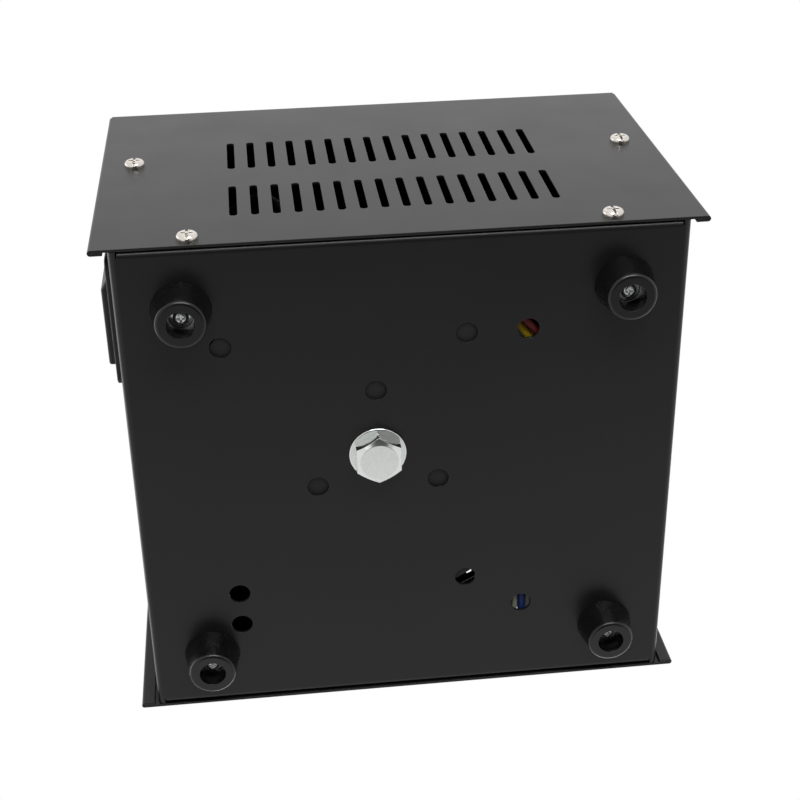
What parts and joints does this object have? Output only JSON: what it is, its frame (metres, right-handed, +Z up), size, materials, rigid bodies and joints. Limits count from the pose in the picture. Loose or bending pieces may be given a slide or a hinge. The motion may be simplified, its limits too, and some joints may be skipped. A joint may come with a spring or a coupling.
{
  "type": "step-up voltage converter",
  "caption": "Black folded-steel step-up voltage converter on rubber feet, with slotted sides, a toroidal transformer on a hexagon bolt, outlets, rocker switch and power inlet.",
  "frame": {"origin": "on the ground under the middle of the cover, at the level of the feet's lower faces", "axes": "+Z up, front panel with switch and outlets faces -Y, +X to the right seen from the front"},
  "size_m": [0.208, 0.2226, 0.1634],
  "materials": {
    "powder_coat": "satin black powder coat",
    "foot_rubber": "glossy moulded",
    "zinc": "bright zinc plated",
    "nickel": "nickel plated",
    "black_plastic": "moulded, semi-gloss",
    "red_plastic": "glossy",
    "white_plastic": "glossy",
    "brass_contact": "stamped",
    "pad_rubber": "matt sheet",
    "wrap_film": "polyester tape",
    "copper": "enamelled wire",
    "core_steel": "wound strip",
    "lead_yellow": "extruded",
    "lead_red": "extruded",
    "lead_white": "extruded",
    "lead_blue": "extruded",
    "lead_grey": "extruded",
    "lead_black": "extruded"
  },
  "bodies": {
    "housing": {"chassis": "powder_coat", "cover": "powder_coat", "cover_screws": "nickel", "clinch_nuts": "zinc", "foot_front_left": "foot_rubber", "foot_front_right": "foot_rubber", "foot_rear_left": "foot_rubber", "foot_rear_right": "foot_rubber", "foot_washers": "zinc", "foot_screws": "zinc", "foot_nuts": "zinc", "center_bolt": "zinc", "bolt_washer": "zinc", "transformer_wrap": "wrap_film", "secondary_winding": "copper", "primary_winding": "copper", "transformer_core": "core_steel", "lower_pad": "pad_rubber", "upper_pad": "pad_rubber", "clamp_plate": "zinc", "top_washer": "zinc", "spring_washer": "zinc", "bolt_nut": "zinc", "lower_outlet": "black_plastic", "upper_outlet": "black_plastic", "lower_outlet_contacts": "brass_contact", "upper_outlet_contacts": "brass_contact", "outlet_screws": "nickel", "outlet_nuts": "zinc", "switch_housing": "black_plastic", "switch_terminals": "brass_contact", "breaker_body": "black_plastic", "breaker_ring_nut": "nickel", "breaker_terminals": "brass_contact", "inlet_body": "black_plastic", "inlet_blades": "nickel", "inlet_screws": "nickel", "inlet_nuts": "zinc", "earth_screw": "zinc", "earth_washer": "zinc", "earth_nut": "zinc", "lead_receptacles": "brass_contact", "yellow_lead": "lead_yellow", "red_lead": "lead_red", "white_lead": "lead_white", "blue_lead": "lead_blue", "grey_lead": "lead_grey", "line_lead": "lead_black", "right_supply_lead": "lead_black", "left_supply_lead": "lead_black"},
    "rocker": {"switch_rocker": "red_plastic"},
    "reset_button": {"reset_button": "white_plastic"}
  },
  "joints": [
    {"name": "switch_rocker_tilt", "type": "hinge", "parent": "housing", "child": "rocker", "pos_m": [-0.05, -0.1029, 0.118], "axis": [-1, 0, 0], "range_deg": [0, 22]},
    {"name": "reset_button_slide", "type": "slide", "parent": "housing", "child": "reset_button", "axis": [0, -1, 0], "range_m": [0, 0.003]}
  ]
}
